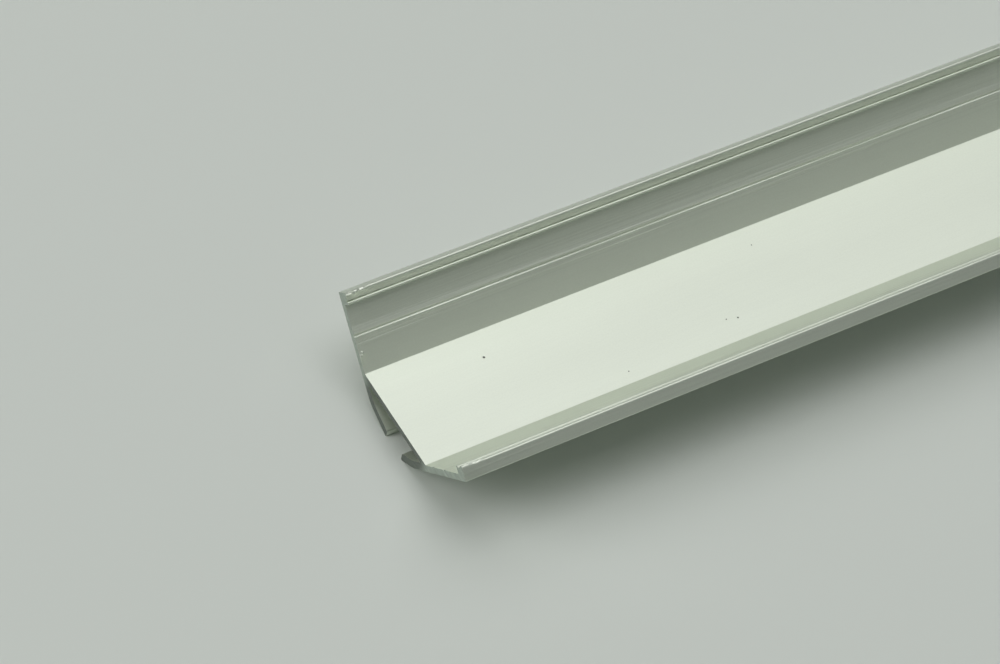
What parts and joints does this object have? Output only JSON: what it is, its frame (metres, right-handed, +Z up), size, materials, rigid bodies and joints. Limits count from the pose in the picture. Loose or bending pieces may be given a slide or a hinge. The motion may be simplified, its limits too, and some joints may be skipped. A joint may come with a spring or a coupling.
{
  "type": "aluminium extrusion profile",
  "caption": "V-shaped corner channel for an LED strip, with a flat floor, legs at 45 degrees, hooked tips for a snap-in cover and a clip slot at the back.",
  "frame": {"origin": "middle of the base, level with the tips of the two fins that the profile lies on", "axes": "+X along the length, +Z up from the strip floor, between the two legs, and +Y across the section"},
  "size_m": [0.5, 0.0222, 0.0094],
  "materials": {
    "aluminium": "satin mill finish with fine lines along the length"
  },
  "bodies": {
    "root": {"corner_profile": "aluminium"}
  },
  "joints": []
}
